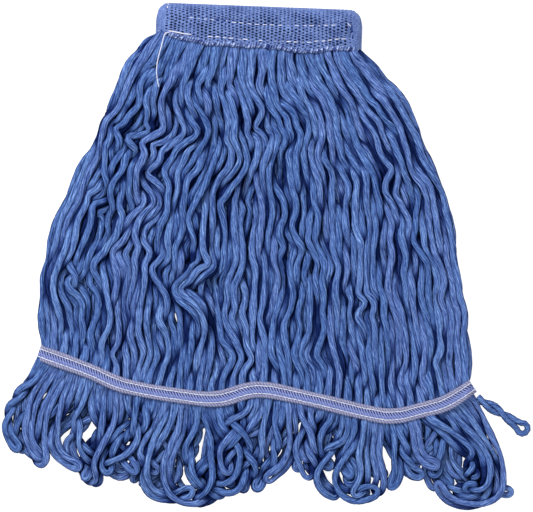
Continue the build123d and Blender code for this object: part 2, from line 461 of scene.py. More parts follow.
def bumped(tree, shader, height, distance, strength):
    made = node(tree, "ShaderNodeBump")
    fill(tree, [made.inputs[key] for key in ("Height", "Distance", "Strength")], height, distance, strength)
    tree.links.new(made.outputs[0], shader.inputs["Normal"])


FIBRE_LINES = 11  # fine lines round a strand


def yarn_material():
    """Soft cotton yarn: fibres that run with the twist and worn patches, with painted shade on the strands'
    sides where they meet, in the ply valleys, and on strands that lie under others.
    """
    material, tree, shader = new_material("yarn", 1.0, gloss=0.03)
    ring_x, ring_y, along, ply = (read(tree, key) for key in ("ring_x", "ring_y", "along", "ply"))
    facing, cover_shade, own = (read(tree, key) for key in ("facing", "cover_shade", "own"))

    def strand_noise(cycles, stretch, detail, roughness):
        long = maths(tree, "MULTIPLY_ADD", own, 170.0, maths(tree, "MULTIPLY", along, stretch))
        across = [maths(tree, "MULTIPLY", side, cycles) for side in (ring_x, ring_y)]
        return noise(tree, vector(tree, *across, long), 1.0, detail, roughness)

    fibre = strand_noise(2.2, 0.075, 4.0, 0.75)
    hair = strand_noise(6.0, 0.22, 3.0, 0.7)
    patch = strand_noise(0.9, 0.05, 3.0, 0.6)
    angle = maths(tree, "ARCTAN2", ring_y, ring_x)
    wander = maths(tree, "MULTIPLY", strand_noise(1.1, 0.045, 2.0, 0.5), 9.0)
    wave = maths(tree, "SINE", maths(tree, "MULTIPLY_ADD", angle, FIBRE_LINES / 2, wander))
    parting = maths(tree, "ADD", maths(tree, "ABSOLUTE", wave), strand_noise(2.4, 0.05, 2.0, 0.5))
    strand = ramp(tree, own, [(0.0, (0.068, 0.138, 0.388)), (0.45, (0.085, 0.162, 0.428)),
                              (0.75, (0.098, 0.168, 0.444)), (1.0, (0.104, 0.193, 0.480))])
    streaks = ramp(tree, fibre, [(0.37, (0.58, 0.61, 0.70)), (0.5, (0.98, 0.98, 0.99)),
                                 (0.63, (1.50, 1.42, 1.26))])
    hairs = ramp(tree, hair, [(0.36, (0.50, 0.54, 0.66)), (0.5, (1, 1, 1)), (0.64, (1.85, 1.70, 1.42))])
    lines = ramp(tree, maths(tree, "SUBTRACT", parting, 0.35),
                 [(0.10, (0.22, 0.26, 0.38)), (0.45, (0.66, 0.70, 0.80)), (0.90, (1.22, 1.20, 1.14))])
    worn = spread(tree, patch, (0.90, 0.92, 0.95), (1.1, 1.08, 1.04))
    # painted shade in the valleys between the plies of the twist
    ply_valley_shade = ramp(tree, ply, [(0.0, (0.60, 0.63, 0.72)), (0.45, (1.03, 1.03, 1.02))])
    # painted shade: the strands' sides, where the surface turns away from straight up or down, darken to
    # navy, as shade falls where strands meet
    sides = ramp(tree, facing, [(0.18, (0.005, 0.012, 0.06)), (0.46, (0.24, 0.30, 0.45)),
                                (0.68, (1.04, 1.04, 1.03))])
    # painted shade on strands that lie under other strands or inside the band
    under = ramp(tree, cover_shade, [(0.0, (1, 1, 1)), (0.4, (0.50, 0.54, 0.66)), (1.0, (0.08, 0.11, 0.24))])
    colour = times(tree, strand, streaks, hairs, lines, worn, ply_valley_shade, sides, under)
    paint(tree, shader, colour)
    bumped(tree, shader, fibre, 0.0010, 0.8)
    return material


YARN = yarn_material()


# ---- Packing the yarn

sway_wide = [Ripple(70, 62), Ripple(70, 62)]
sway_group = [Ripple(17, 42), Ripple(17, 42)]
lift_field = [Ripple(30, 130), Ripple(30, 130)]


def middle_height(y):
    return at(MIDDLE_HEIGHT, y)


def kink_events(count, crowded):
    """Places where a bundle of strands turns sharply aside together: x, y, size, width, height, lean. In a
    crowded half every third one is in the part under the hem's left half."""
    events = []
    for k in range(count):
        x, y = rng.uniform(-180, 155), rng.uniform(-78, 120)
        if crowded and k % 3 == 0:
            x, y = rng.uniform(-125, 25), rng.uniform(70, 135)
        size = rng.choice([-1, 1]) * rng.uniform(1.6, 5.0)
        events.append((x, y, size, rng.uniform(7, 20), rng.uniform(8, 16), rng.uniform(-0.5, 0.5)))
    return events


KINKS = {"back": kink_events(30, False), "front": kink_events(66, True)}
PARTINGS = {half: [(rng.uniform(-180, 160), rng.uniform(-80, 130), rng.uniform(1.8, 4.4), rng.uniform(9, 24))
                   for k in range(70)] for half in HALVES}


MOST_KINK = 8.5  # furthest that kinks and partings may shift a strand
TAPE_INSET = 4  # the outermost strands are this far inside the tape's ends
BAND_LAYERS = (4.6, 8.0, 11.2)  # heights of the strands in the band, from its middle
TAPE_LAYERS = (2.6, 4.9)  # and under the tape, from the plane between the halves
SWAYS = (3.0, 1.3, 0.7)  # how far strands sway all together, in groups and each by itself
SHELF_Y, SHELF_X, SHELF_RISE = 127, -62, 4.2  # the crowded yarn stands up under the hem's left half


def kinks(half, x, y):
    """Sideways shift of a strand where bundles kink, and where they part and leave a long narrow gap."""
    shift = 0.0 * x
    for place_x, place_y, size, width, height, lean in KINKS[half]:
        aside = x - place_x
        above = y - place_y - lean * aside
        turn = np.sign(above) * np.clip(1 - np.abs(np.abs(above) / height - 1), 0, 1)
        shift = shift + size * turn * (1 - smooth(np.abs(aside), width * 0.5, width * 1.4))
    for place_x, place_y, size, height in PARTINGS[half]:
        aside = x - place_x
        push = size * np.tanh(aside / 1.5) * np.exp(-np.abs(aside) / 9.0)
        shift = shift + push * np.exp(-((y - place_y) / height) ** 2)
    return np.clip(shift, -MOST_KINK, MOST_KINK)


def tape_share_x(share):
    """x at a share of the way along the strands' places under the tape."""
    return TAPE_LEFT + TAPE_INSET + (TAPE_RIGHT - TAPE_LEFT - 2 * TAPE_INSET) * share


def panel_strand(half, index):
    """One strand from inside the band to under the tape, before packing: (points, pinned)."""
    which = HALVES.index(half)
    share = (index + 0.5 + rng.uniform(-0.25, 0.25)) / STRANDS
    end_x = tape_share_x(share)
    end_y = float(tape_y(end_x)) - 1.5
    y = np.arange(FOLD_FACE - 9, end_y - 0.5, -1.0)
    y[-1] = end_y
    progress = (y[0] - y) / (y[0] - end_y)
    x = side_x(share, y)
    x += (end_x - x[-1]) * smooth(progress, 0.2, 1.0)
    free = smooth(hem_y(x[0]) - y, 4, 58) * (0.15 + 0.85 * smooth(y - end_y, 6, 34))
    unruly = 1.2 - 0.45 * smooth(x, -120, 120)
    own = Ripple(1e6, 30, 8)
    wide, group, single = SWAYS
    sway = wide * sway_wide[which](x, y) + group * sway_group[which](x, y) + single * own(x * 0, y)
    sway = sway + kinks(half, x, y)
    slide = 3.0 * sway_wide[1 - which](x + 300, y) + 1.5 * sway_group[1 - which](x + 90, y)
    calm = free * unruly * (0.35 + 0.65 * smooth(min(share, 1 - share), 0.0, 0.06))
    x = x + calm * sway
    y = y + calm * slide
    inside = smooth(y - hem_y(x), -14, -1)
    x = x + inside * (np.clip(x, BAND_LEFT + 4.5, BAND_RIGHT - 6.0) - x)
    layer = OUTWARD[half] * BAND_LAYERS[(index * 2 + index // 7) % 3]
    start = BAND_MIDDLE + layer * float(band_taper(np.clip(x[0], BAND_LEFT + 5, BAND_RIGHT - 5)))
    middle = middle_height(y)
    if half == "front":
        shelf = np.exp(-((y - SHELF_Y + 0.12 * (x + 60)) / 9.0) ** 2)
        middle = middle + SHELF_RISE * shelf * smooth(np.abs(x - SHELF_X), 62, 30)
    lift = lift_field[which](x, y) + 0.8 * own(x * 0 + 7, y * 0.25)
    above = middle_height(y) / 2 + 0.3 + 2.6 * free * lift
    above = above + (TAPE_LAYERS[index % 2] - above) * smooth(end_y + 27 - y, 0, 17)
    packed = middle + OUTWARD[half] * above
    z = start + (packed - start) * smooth(hem_y(x) - y, 6, 46)
    points = resampled(np.stack([x, y, z], axis=1), LINK)
    pinned = (points[:, 1] > hem_y(points[:, 0]) - 3) | (points[:, 1] < tape_y(points[:, 0]) + 9)
    return points, pinned


BIG_SWEEP = np.array([(180.6, -114.7), (193.0, -146.8), (195.7, -177.9), (187.7, -193.8), (169.5, -198.8),
                      (149.4, -193.9), (140.4, -181.6), (140.0, -172.0)])
fringe_bend = Ripple(75, 1.5, 10)
fringe_sway = Ripple(45, 0.8, 10)
GROUP_HOOKS = {"front": [0.5, 1.5, 0.9, 0.0, 1.2, -1.1, 0.3, -0.9, 0.0, 1.4, -1.2, 0.8, -0.4],
               "back": [0.9, -0.6, 1.0, -1.0, 0.4, 0.9, -0.8, 0.6, -1.2, 0.2, 1.0, -0.7, 0.5]}


def fringe_centre(half, index, start):
    """The middle line of a looped end, as x, y, with its direction: down from the tape in bundles that bend
    together, with the last ones on the right swept round in one big curve."""
    share = (index + 0.5) / PAIRS
    steps = 40
    t = np.linspace(0, 1, steps)
    inner = PAIRS - 1 - index
    if half == "front" and inner < 5:
        line = catmull(BIG_SWEEP, np.linspace(0, len(BIG_SWEEP) - 1 - 0.75 * inner, 90))
        tangent = directions(line)
        inward = np.stack([tangent[:, 1], -tangent[:, 0]], axis=1)
        places = np.linspace(0, 1, 90)[:, None]
        line = line + inward * (3.5 + 5.2 * inner) * smooth(places, 0, 0.35)
        line = line + (start - line[0]) * (1 - smooth(places, 0, 0.3))
        line = line[::2][:steps]
        tangent = np.gradient(line, axis=0)
        return line, np.arctan2(tangent[:, 1], tangent[:, 0])
    wanted_x = -213 + 401 * share + rng.uniform(-4, 4)
    group = min(index // 3, 12)
    short_by = rng.uniform(0, 9) if half == "front" else rng.uniform(3, 20)
    wanted_y = float(at(FRINGE_END, wanted_x)) + short_by
    if rng.random() < 0.2:
        wanted_y += rng.uniform(6, 18)
    reach = math.hypot(wanted_x - start[0], wanted_y - start[1]) - 3
    heading = math.atan2(wanted_y - start[1], wanted_x - start[0])
    own = Ripple(1e6, 0.7, 6)
    shift = 0.0 if half == "front" else 50.0
    place = start[0] + shift + 0 * t
    bend = 0.30 * fringe_bend(place, t) + 0.26 * fringe_sway(place, t)
    bend = (bend + 0.16 * own(t * 0, t) + rng.normal(0, 0.05)) * smooth(t, 0.02, 0.3)
    if share < 0.1:
        bend = 0.4 * bend + (0.7 * t - 0.34) * smooth(t, 0.0, 0.2)
    hook = (0.8 * GROUP_HOOKS[half][group] + rng.normal(0, 0.25)) * smooth(t, 0.55, 1.0)
    angle = heading + bend + hook
    line = np.concatenate([[[0, 0]], np.cumsum(np.stack([np.cos(angle), np.sin(angle)], 1)[:-1], axis=0)])
    return start + line * reach / max(np.linalg.norm(line[-1]), 0.62 * steps), angle


LEG_APART = 2.6  # half the space between a looped end's legs
LOOP_LEVEL = 3.7  # a looped end's distance from the plane between the halves, at the tape


def fringe_loop(half, index):
    """One looped end: down from the tape, round and back up, its two legs side by side or twisted together.
    Gives its points, and which of them are pinned under the tape."""
    pitch = (TAPE_RIGHT - TAPE_LEFT - 2 * TAPE_INSET) / STRANDS
    start_x = tape_share_x((index + 0.5) / PAIRS)
    start = np.array((start_x, float(tape_y(start_x)) + 1.0))
    path, angle = fringe_centre(half, index, start)
    t = np.linspace(0, 1, len(path))
    normal = np.stack([-np.sin(angle), np.cos(angle)], axis=1)
    half_turns = rng.choice([0, 1, 2, 3], p=[0.34, 0.30, 0.22, 0.14])
    roll = half_turns * np.pi * smooth(t, 0.15, 0.9) * rng.choice([-1, 1])
    eye = rng.choice([2.9, 3.3, 3.8, 4.6], p=[0.4, 0.3, 0.2, 0.1])
    apart = pitch / 2 + (LEG_APART - pitch / 2) * smooth(t, 0.0, 0.2)
    apart = apart + (eye - LEG_APART) * smooth(t, 0.75, 0.95)
    middle = middle_height(path[:, 1])
    level = middle / 2 + 0.4 + 1.8 * lift_field[HALVES.index(half)](path[:, 0], path[:, 1])
    level = LOOP_LEVEL + (np.clip(level, 3.2, 8.5) - LOOP_LEVEL) * smooth(t, 0.05, 0.3)
    height = middle + OUTWARD[half] * level

    def leg(sign):
        offset = sign * apart * np.cos(roll)
        return np.stack([path[:, 0] + normal[:, 0] * offset, path[:, 1] + normal[:, 1] * offset,
                         height + sign * 0.9 * apart * np.sin(roll)], axis=1)

    first, second = leg(1), leg(-1)[::-1]
    gap = second[0] - first[-1]
    out = np.array((math.cos(angle[-1]), math.sin(angle[-1]), 0.0))
    turn = np.linspace(0, np.pi, 7)[1:-1, None]
    centre = (first[-1] + second[0]) / 2
    bulge = max(np.linalg.norm(gap) / 2, 2.4)
    cap = centre - gap / 2 * np.cos(turn) + out * bulge * np.sin(turn)
    points = resampled(np.concatenate([first, cap, second]), LINK)
    pinned = points[:, 1] > tape_y(points[:, 0]) - 6.5
    middle_point = len(points) // 2
    pinned[middle_point - 6:middle_point + 6] = False
    return points, pinned


def candidate_pairs(places, chain, rank, reach):
    """Pairs of points on different strands, or far apart along one, that are nearer than reach."""
    cell = np.floor(places[:, :2] / reach).astype(np.int64)
    cell -= cell.min(0) - 1
    width = int(cell[:, 1].max()) + 3
    key = cell[:, 0] * width + cell[:, 1]
    order = np.argsort(key, kind="stable")
    sorted_key = key[order]
    firsts, seconds = [], []
    for dx, dy in ((0, 0), (0, 1), (1, -1), (1, 0), (1, 1)):
        wanted = sorted_key + dx * width + dy
        low = np.searchsorted(sorted_key, wanted, "left")
        high = np.searchsorted(sorted_key, wanted, "right")
        if dx == 0 and dy == 0:
            low = np.arange(len(order)) + 1
        count = np.maximum(high - low, 0)
        source = np.repeat(np.arange(len(order)), count)
        jump = np.arange(count.sum()) - np.repeat(np.cumsum(count) - count, count)
        firsts.append(order[source])
        seconds.append(order[np.repeat(low, count) + jump])
    first, second = np.concatenate(firsts), np.concatenate(seconds)
    apart = (chain[first] != chain[second]) | (np.abs(rank[first] - rank[second]) > 4)
    first, second = first[apart], second[apart]
    near = ((places[first] - places[second]) ** 2).sum(1) < reach ** 2
    return first[near], second[near]


def in_fringe(points):
    """0 above the tape, 1 well below it."""
    return smooth(tape_y(points[:, 0]) - points[:, 1], 6, 24)


SINKING = 0.05  # a round, in millimetres
BENDING, PUSHING, LINKING = 0.18, 0.32, 0.9  # share of each error that a round takes away


def pack(chains, rounds):
    """Settles all strands: links keep their length, bends keep their shape, strands don't pass through each
    other, and everything is drawn down to the floor."""
    places = np.concatenate([points for points, pinned in chains])
    spacing = YARN_SPACING * (1 - FRINGE_THINNING * in_fringe(places))
    held = np.concatenate([pinned for points, pinned in chains])
    chain = np.repeat(np.arange(len(chains)), [len(points) for points, pinned in chains])
    rank = np.concatenate([np.arange(len(points)) for points, pinned in chains])
    inner = np.where(chain[:-2] == chain[2:])[0] + 1
    links = np.where(chain[:-1] == chain[1:])[0]
    rest = np.linalg.norm(places[links + 1] - places[links], axis=1)
    shape = places[inner] - (places[inner - 1] + places[inner + 1]) / 2
    free = (~held).astype(float)
    groups = [(links[rank[links] % 2 == parity], rest[rank[links] % 2 == parity]) for parity in (0, 1)]
    total = len(places)
    for step in range(rounds):
        places[:, 2] -= SINKING * free
        target = (places[inner - 1] + places[inner + 1]) / 2 + shape
        places[inner] += BENDING * free[inner, None] * (target - places[inner])
        if step % 6 == 0:
            first, second = candidate_pairs(places, chain, rank, YARN_SPACING * 1.35)
        gap = places[second] - places[first]
        distance = np.sqrt((gap ** 2).sum(1)) + 1e-9
        wanted = (spacing[first] + spacing[second]) / 2
        close = distance < wanted
        a, b = first[close], second[close]
        push = gap[close] / distance[close, None] * ((wanted - distance)[close] * PUSHING)[:, None]
        push *= (1.0 + (~((free[a] > 0) & (free[b] > 0))))[:, None]
        count = np.maximum(np.bincount(a, minlength=total) + np.bincount(b, minlength=total), 1)
        for k in range(3):
            moved = np.bincount(b, push[:, k], total) - np.bincount(a, push[:, k], total)
            places[:, k] += free * moved / np.sqrt(count)
        for a, length in groups:
            gap = places[a + 1] - places[a]
            distance = np.linalg.norm(gap, axis=1)
            weight = np.maximum(free[a] + free[a + 1], 1e-9)
            fix = gap * ((distance - length) / distance / weight * LINKING)[:, None]
            places[a] += fix * free[a, None]
            places[a + 1] -= fix * free[a + 1, None]
        places[:, 2] = np.where(held, places[:, 2], np.maximum(places[:, 2], YARN_RADIUS * 0.86))
    settled = [places[chain == k] for k in range(len(chains))]
    for points in settled:
        points[1:-1] = (points[:-2] + 2 * points[1:-1] + points[2:]) / 4
    return settled


panel = {half: [panel_strand(half, k) for k in range(STRANDS)] for half in HALVES}
loops = {half: [fringe_loop(half, k) for k in range(PAIRS)] for half in HALVES}
everything = [c for group in (panel, loops) for half in HALVES for c in group[half]]
settled = pack(everything, 170)
cursor = 0
for group in (panel, loops):
    for half in HALVES:
        count = len(group[half])
        group[half] = settled[cursor:cursor + count]
        cursor += count


def covered(chains, outward):
    """How far each point of each strand lies under other strands, from 0 to 1, seen from outside its half."""
    places = np.concatenate(chains)
    flat_places = places * (1, 1, 0)
    chain = np.repeat(np.arange(len(chains)), [len(points) for points in chains])
    rank = np.concatenate([np.arange(len(points)) for points in chains])
    first, second = candidate_pairs(flat_places, chain, rank, COVER_REACH)
    rise = (places[second, 2] - places[first, 2]) * outward
    near = 1 - np.linalg.norm(flat_places[first] - flat_places[second], axis=1) / COVER_REACH
    total = np.bincount(first, near * smooth(rise, 0.4, 3.4), len(places))
    total += np.bincount(second, near * smooth(-rise, 0.4, 3.4), len(places))
    amount = smooth(total, 0.08, 1.05)
    ends = np.cumsum([len(points) for points in chains])[:-1]
    return np.split(amount, ends)


def loop_path(points):
    """A looped end's line with its turn rounded off, and points closer together round it."""
    dense = resampled(points, 0.8)
    travel = travel_along(dense)
    middle = travel[-1] / 2
    near = smooth(15 - np.abs(travel - middle), 0, 7)[1:-1, None]
    for step in range(7):
        dense[1:-1] += near * ((dense[:-2] + dense[2:]) / 4 - dense[1:-1] / 2)
    travel = travel_along(dense)
    middle = travel[-1] / 2
    leg = np.linspace(0, middle - 11, int((middle - 11) / RING_STEP))
    wanted = np.concatenate([leg, np.linspace(middle - 11, middle + 11, 19)[1:-1], travel[-1] - leg[::-1]])
    return read_off(wanted, travel, dense)


def strand_tube(path, own, cover_shade, outward):
    """The tube of one packed strand."""
    thick = Ripple(1e6, 30, 6)
    s = travel_along(path)
    radius = YARN_RADIUS * (1 + 0.09 * thick(s * 0, s)) * (1 + 0.04 * smooth(path[:, 1], 125, 165))
    radius = radius * (1 - FRINGE_THINNING * in_fringe(path))
    in_band = smooth(path[:, 1], PANEL_HINGE - 45, PANEL_HINGE)
    at_tape = 1 - smooth(np.abs(path[:, 1] - tape_y(path[:, 0])), 7, 17)
    flat = 0.93 - 0.33 * in_band - 0.22 * at_tape
    cover = np.interp(s / s[-1], np.linspace(0, 1, len(cover_shade)), cover_shade)
    # painted shade: inside the band, under the mesh, a strand gets a cover value of at least 0.8
    cover = np.maximum(cover, 0.8 * smooth(path[:, 1] - hem_y(path[:, 0]), -2.5, 2.5))
    return tube(path, radius, phase=own * 5, flat=flat, uneven=0.085, cover=cover, outward=outward,
                pitch=PLY_PITCH * (0.8 + 0.9 * ((own * 7) % 1)))


PANEL_BODIES = {"back": ("back_half",),
                "front": ("front_band", "front_panel", (0, 0.170, 0.03), (0, 0.135, 0.03))}
LOOP_BODIES = ("front_panel", "front_loops", (0, -0.128, 0.0166), (0, -0.150, 0.0166))
UNDECLARED_LOOPS = (18, 20)  # two loops that the loop below tests for as its last step; at most 40 cords may be declared
per_lock, per_loops = STRANDS // LOCKS, PAIRS // LOCKS
for half, outward in OUTWARD.items():
    # how far each strand lies under others, which the yarn material turns into painted shade
    cover_shade = covered(panel[half] + loops[half], outward)
    for lock in range(LOCKS):
        members = range(lock * per_lock, (lock + 1) * per_lock)
        owns = rng.random(per_lock)
        tubes = [strand_tube(resampled(panel[half][k], RING_STEP), own, cover_shade[k], outward)
                 for k, own in zip(members, owns)]
        made = tubes_object(f"{half}_strands_{lock + 1:02d}", tubes, owns, YARN)
        stand_for(made, "yarn", [f"{half}_yarn_{lock + 1:02d}"], *PANEL_BODIES[half])
        members = range(lock * per_loops, (lock + 1) * per_loops)
        owns = rng.random(per_loops)
        paths = [loop_path(loops[half][k]) for k in members]
        tubes = [strand_tube(path, own, cover_shade[STRANDS + k], outward)
                 for k, own, path in zip(members, owns, paths)]
        nodes = [f"{half}_loops_{lock + 1:02d}"]
        if half == "back":
            made = tubes_object(f"back_looped_ends_{lock + 1:02d}", tubes, owns, YARN)
            stand_for(made, "yarn", nodes, "back_half")
            continue
        for k, own, one, path in zip(members, owns, tubes, paths):
            made = tubes_object(f"front_looped_end_{k + 1:02d}", [one], [own], YARN)
            stand_for(made, "yarn", nodes, *LOOP_BODIES)
            if k in UNDECLARED_LOOPS:
                continue


# ---- Fold yarn

FOLD_DEPTH = 13.0  # how far back from the fold the band has its full thickness
FOLD_POWER = 2.5  # 2 would be an ellipse, and more is squarer
CORNER = 8.0  # radius of the band's corners at the fold
TOP_LAYER = max(BAND_LAYERS)


def section_points():
    """The band's folded section at full thickness: arc length from the fold, distance back, height share."""
    a = np.linspace(0, np.pi / 2, 60)
    back = FOLD_DEPTH * (1 - np.cos(a) ** (2 / FOLD_POWER))
    back = np.append(back, FOLD_DEPTH + 60)
    high = np.append(np.sin(a) ** (2 / FOLD_POWER), 1.0)
    return travel_along(np.stack([back, high * BAND_MIDDLE], axis=1)), back, high


SECTION_ARC, SECTION_BACK, SECTION_HIGH = section_points()


def fold_y(x):
    """The fold's line, with rounded corners at both ends."""
    edge = np.clip(band_edge(x), 0, CORNER)
    return FOLD_FACE - 0.3 - (CORNER - np.sqrt(np.maximum(CORNER ** 2 - (CORNER - edge) ** 2, 0)))


def band_point(x, arc, sink=0.0):
    """A point of the band's surface: arc is measured from the fold, positive over the front. sink is how far
    inwards."""
    far = np.abs(arc)
    y = fold_y(x) - np.interp(far, SECTION_ARC, SECTION_BACK)
    z = BAND_MIDDLE * band_taper(x) * np.interp(far, SECTION_ARC, SECTION_HIGH) * np.sign(arc)
    slope, climb = (np.interp(far + 0.4, SECTION_ARC, column) - np.interp(far - 0.4, SECTION_ARC, column)
                    for column in (SECTION_BACK, SECTION_HIGH))
    climb = climb * BAND_MIDDLE
    size = np.maximum(np.hypot(slope, climb), 1e-6)
    y = y - sink * climb / size
    z = z - sink * slope / size * np.sign(arc)
    return np.stack([x + 0 * y, y, BAND_MIDDLE + z], axis=-1)


def fold_strand(index, side):
    """A strand's way round the fold, from the middle of the spine into one half of the band."""
    ends = [panel[half][index][0] for half in HALVES]
    offset = abs(ends[1][2] - BAND_MIDDLE)
    target = ends[HALVES.index(side)]
    middle_x = (ends[0][0] + ends[1][0]) / 2
    reach = fold_y(np.array(middle_x)) - 3.9 - (TOP_LAYER - min(offset, TOP_LAYER)) * 0.34 - target[1]
    reach = max(float(reach), 1.2)
    a = np.linspace(0, np.pi / 2, 9)
    x = middle_x + (target[0] - middle_x) * smooth(a, 0, np.pi / 2)
    z = BAND_MIDDLE + OUTWARD[side] * offset * np.sin(a)
    turn = np.stack([x, target[1] + reach * np.cos(a), z], axis=1)
    return np.concatenate([turn, panel[side][index][1:4]])


def fold_tube(index, side, own):
    path = resampled(fold_strand(index, side), 2.5)
    # painted shade: the strands round the fold lie inside the band and get a fixed cover value of 0.8
    return tube(path, 2.8, verts=14, phase=own * 5, plies=3, cover=np.full(len(path), 0.8),
                outward=OUTWARD[side])


FOLD_BODIES = {"back": ("back_half", "fold", (0, 0.197, 0.0), (0, 0.207, 0.0125)),
               "front": ("fold", "front_band", (0, 0.207, 0.0175), (0, 0.197, 0.03))}
FOLD_PARTS = {"back": ("back", "fold"), "front": ("front",)}
for side in HALVES:
    owns = rng.random(STRANDS)
    tubes = [fold_tube(k, side, own) for k, own in enumerate(owns)]
    made = tubes_object(f"fold_strands_{side}", tubes, owns, YARN)
    stand_for(made, "yarn", [f"headband_yarn_{part}" for part in FOLD_PARTS[side]], *FOLD_BODIES[side])


# ---- Knitted mesh band

HOLE_PITCH = 3.16
HOLE_ROW = 2.36
BAND_SEAM = np.array([(-77.0, 196.0), (-50.0, 194.6), (-23.0, 192.4), (15.0, 192.8), (40.0, 194.2),
                      (53.0, 196.2), (56.5, 193.5), (57.2, 184.5), (36.0, 181.4), (21.5, 179.4),
                      (-20.0, 179.4), (-65.7, 181.4)])  # along the fold, down the right end, along the hem
HOLE_RINGS = ((1.34, 0.42), (1.0, -0.20), (0.90, -1.35))  # round each hole: size share, height


def line_distance(points, line):
    """How far points are from a line of straight pieces."""
    best = np.full(len(points), 1e9)
    for a, b in zip(line[:-1], line[1:]):
        along = b - a
        t = np.clip(((points - a) @ along) / (along @ along), 0, 1)
        best = np.minimum(best, np.linalg.norm(points - a - t[:, None] * along, axis=1))
    return best


def near_seam(points):
    """1 at the band's stitches, where they draw the mesh in, and 0 away from them."""
    return 1 - smooth(line_distance(points, BAND_SEAM), 0.2, 3.2)


def net_mesh(name, side, material):
    """Half of the band: a knitted mesh with real holes, in staggered columns."""
    columns = int((BAND_RIGHT - BAND_LEFT) / HOLE_PITCH)
    pitch = (BAND_RIGHT - BAND_LEFT) / columns
    rows = int(45 / HOLE_ROW)
    column, row = np.meshgrid(np.arange(columns), np.arange(-rows, rows), indexing="ij")
    column, row = column.ravel(), row.ravel()
    centre_x = BAND_LEFT + (column + 0.5) * pitch
    centre_s = (row + 0.5 * (column % 2)) * HOLE_ROW + HOLE_ROW / 2
    keep = centre_s >= 0 if side == "front" else centre_s < 0
    place = band_point(centre_x, centre_s)
    keep &= place[:, 1] > hem_y(centre_x) + 0.2
    column, centre_x, centre_s = column[keep], centre_x[keep], centre_s[keep]
    square = np.array([(-1, -1), (0, -1), (1, -1), (1, 0), (1, 1), (0, 1), (-1, 1), (-1, 0)]) / 2
    angle = np.arctan2(square[:, 1], square[:, 0])
    oval = np.stack([np.cos(angle), np.sin(angle)], axis=1)
    looks = 1 + 0.10 * Ripple(26, 14)(centre_x, centre_s)
    open_share = (0.32 + 0.68 * smooth(band_edge(centre_x), 5, 10)) * looks
    open_share = open_share + rng.normal(0, 0.05, len(centre_x))
    drift = (Ripple(34, 12), Ripple(30, 9))
    shapes = [(square * (pitch, HOLE_ROW), np.ones(len(centre_x)), 0.0)]
    shapes += [(oval * (0.98, 0.66) * grow, open_share, lift) for grow, lift in HOLE_RINGS]
    rings = []
    for outline, size, lift in shapes:
        x = np.clip(centre_x[:, None] + outline[:, 0] * size[:, None], BAND_LEFT, BAND_RIGHT)
        s = centre_s[:, None] + outline[:, 1] * size[:, None]
        x = x + 0.22 * drift[0](x, s) * smooth(band_edge(x), 0, 6)
        s = s + 0.22 * drift[1](x, s)
        x, s = x.ravel(), s.ravel()
        point = band_point(x, s, -lift)
        flare = smooth(np.abs(s), 2, 16)
        point[:, 0] -= 2.0 * (1 - smooth(x - BAND_LEFT, 0, 12)) * flare
        point[:, 0] += 2.5 * (1 - smooth(BAND_RIGHT - x, 0, 12)) * flare
        sunk = 1.1 * near_seam(point[:, :2]) + 0.5 * smooth(Ripple(40, 16)(x, s), -0.2, 1.2)
        towards = np.where(s > 0, 1, -1) * smooth(np.abs(s), 12, 22)
        point[:, 2] -= sunk * towards
        rings.append(point.reshape(-1, 8, 3))
    verts = np.stack(rings, axis=1).reshape(-1, 3)
    cells = len(centre_x)
    j = np.arange(8)
    quads = []
    for ring in range(len(HOLE_RINGS)):
        base = (np.arange(cells) * 32 + ring * 8)[:, None]
        a, b = base + j, base + (j + 1) % 8
        quads.append(np.stack([a, b, b + 8, a + 8], axis=-1).reshape(-1, 4))
    # the mesh material paints a highlight on each hole's raised rim (0.9) and shade down its wall (0.5 to 0)
    shade = np.tile(np.repeat((1.0, 0.9, 0.5, 0.0), 8), cells)
    made = build_mesh(name, verts, np.concatenate(quads), (), {"shade": shade}, material)
    weld(made, 0.02)
    return made


def weld(made, distance):
    """Joins points that lie in the same place."""
    work = bmesh.new()
    work.from_mesh(made.data)
    bmesh.ops.remove_doubles(work, verts=work.verts, dist=distance * MM)
    bmesh.ops.recalc_face_normals(work, faces=work.faces)
    work.to_mesh(made.data)
    work.free()
    made.data.polygons.foreach_set("use_smooth", np.ones(len(made.data.polygons), bool))


def mesh_material():
    """Knitted mesh: painted shade down the holes' walls and a painted highlight on the raised rims round
    them, with fine and coarse grain and broad worn patches.
    """
    material, tree, shader = new_material("mesh", 0.62)
    grain = object_noise(tree, 1500.0, 2.0, 0.6)
    coarse = object_noise(tree, 520.0, 2.0, 0.6)
    wide = object_noise(tree, 60.0, 2.0, 0.5)
    # painted light: the raised rim round each hole is lighter than the flat between holes, and the hole walls
    # darken to near black, as shade falls into the holes
    base = ramp(tree, read(tree, "shade"), [(0.0, (0.006, 0.012, 0.06)), (0.5, (0.05, 0.09, 0.27)),
                              (0.9, (0.19, 0.28, 0.60)), (1.0, (0.13, 0.205, 0.49))])
    fine = spread(tree, grain, (0.66, 0.68, 0.76), (1.26, 1.23, 1.16))
    rough = ramp(tree, coarse, [(0.36, (0.66, 0.69, 0.79)), (0.64, (1.28, 1.25, 1.15))])
    broad = spread(tree, wide, (0.80, 0.82, 0.88), (1.06, 1.06, 1.05))
    paint(tree, shader, times(tree, base, fine, rough, broad))
    bumped(tree, shader, grain, 0.0002, 0.5)
    return material


MESH = mesh_material()
for side in HALVES:
    made = net_mesh(f"mesh_band_{side}", side, MESH)
    stand_for(made, "mesh", [f"headband_mesh_{part}" for part in FOLD_PARTS[side]], *FOLD_BODIES[side])


# ---- Rolled hem

